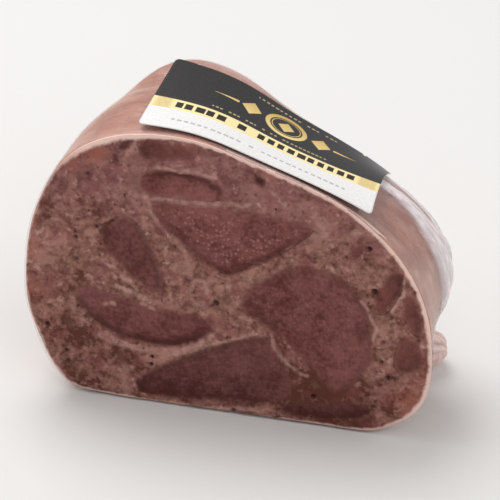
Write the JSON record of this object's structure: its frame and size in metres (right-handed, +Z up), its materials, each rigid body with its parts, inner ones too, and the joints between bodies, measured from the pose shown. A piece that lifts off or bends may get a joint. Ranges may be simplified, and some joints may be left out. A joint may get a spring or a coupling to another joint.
{
  "type": "cooked pork sausage end piece",
  "caption": "Cut end of a large cooked pork sausage with tongue pieces in its meat, a clear film and a card label on top; lies on its flat foot.",
  "frame": {"origin": "on the flat foot, half way between the cut face and the rounded end, in the middle of the cut face's foot from side to side", "axes": "+X to the right along the cut face, +Y from the cut face to the rounded end, +Z up"},
  "size_m": [0.1206, 0.0644, 0.0914],
  "materials": {
    "ground_meat": "moist cooked ground meat, mottled grey pink",
    "tongue": "moist cooked tongue, plum brown with fine grain",
    "lean": "moist cooked lean meat, red brown",
    "film": "thin clear glossy film",
    "label": "satin coated card in black, gold and white"
  },
  "bodies": {
    "root": {"ground_meat": "ground_meat", "tongue_cap": "tongue", "tongue_wedge": "tongue", "tongue_plum": "tongue", "tongue_crescent": "tongue", "tongue_bottom": "tongue", "tongue_broad": "tongue", "tongue_heel": "tongue", "lean_crown": "lean", "lean_rim_upper": "lean", "lean_rim_middle": "lean", "lean_rim_lower": "lean", "film_wrap": "film", "label": "label"}
  },
  "joints": []
}
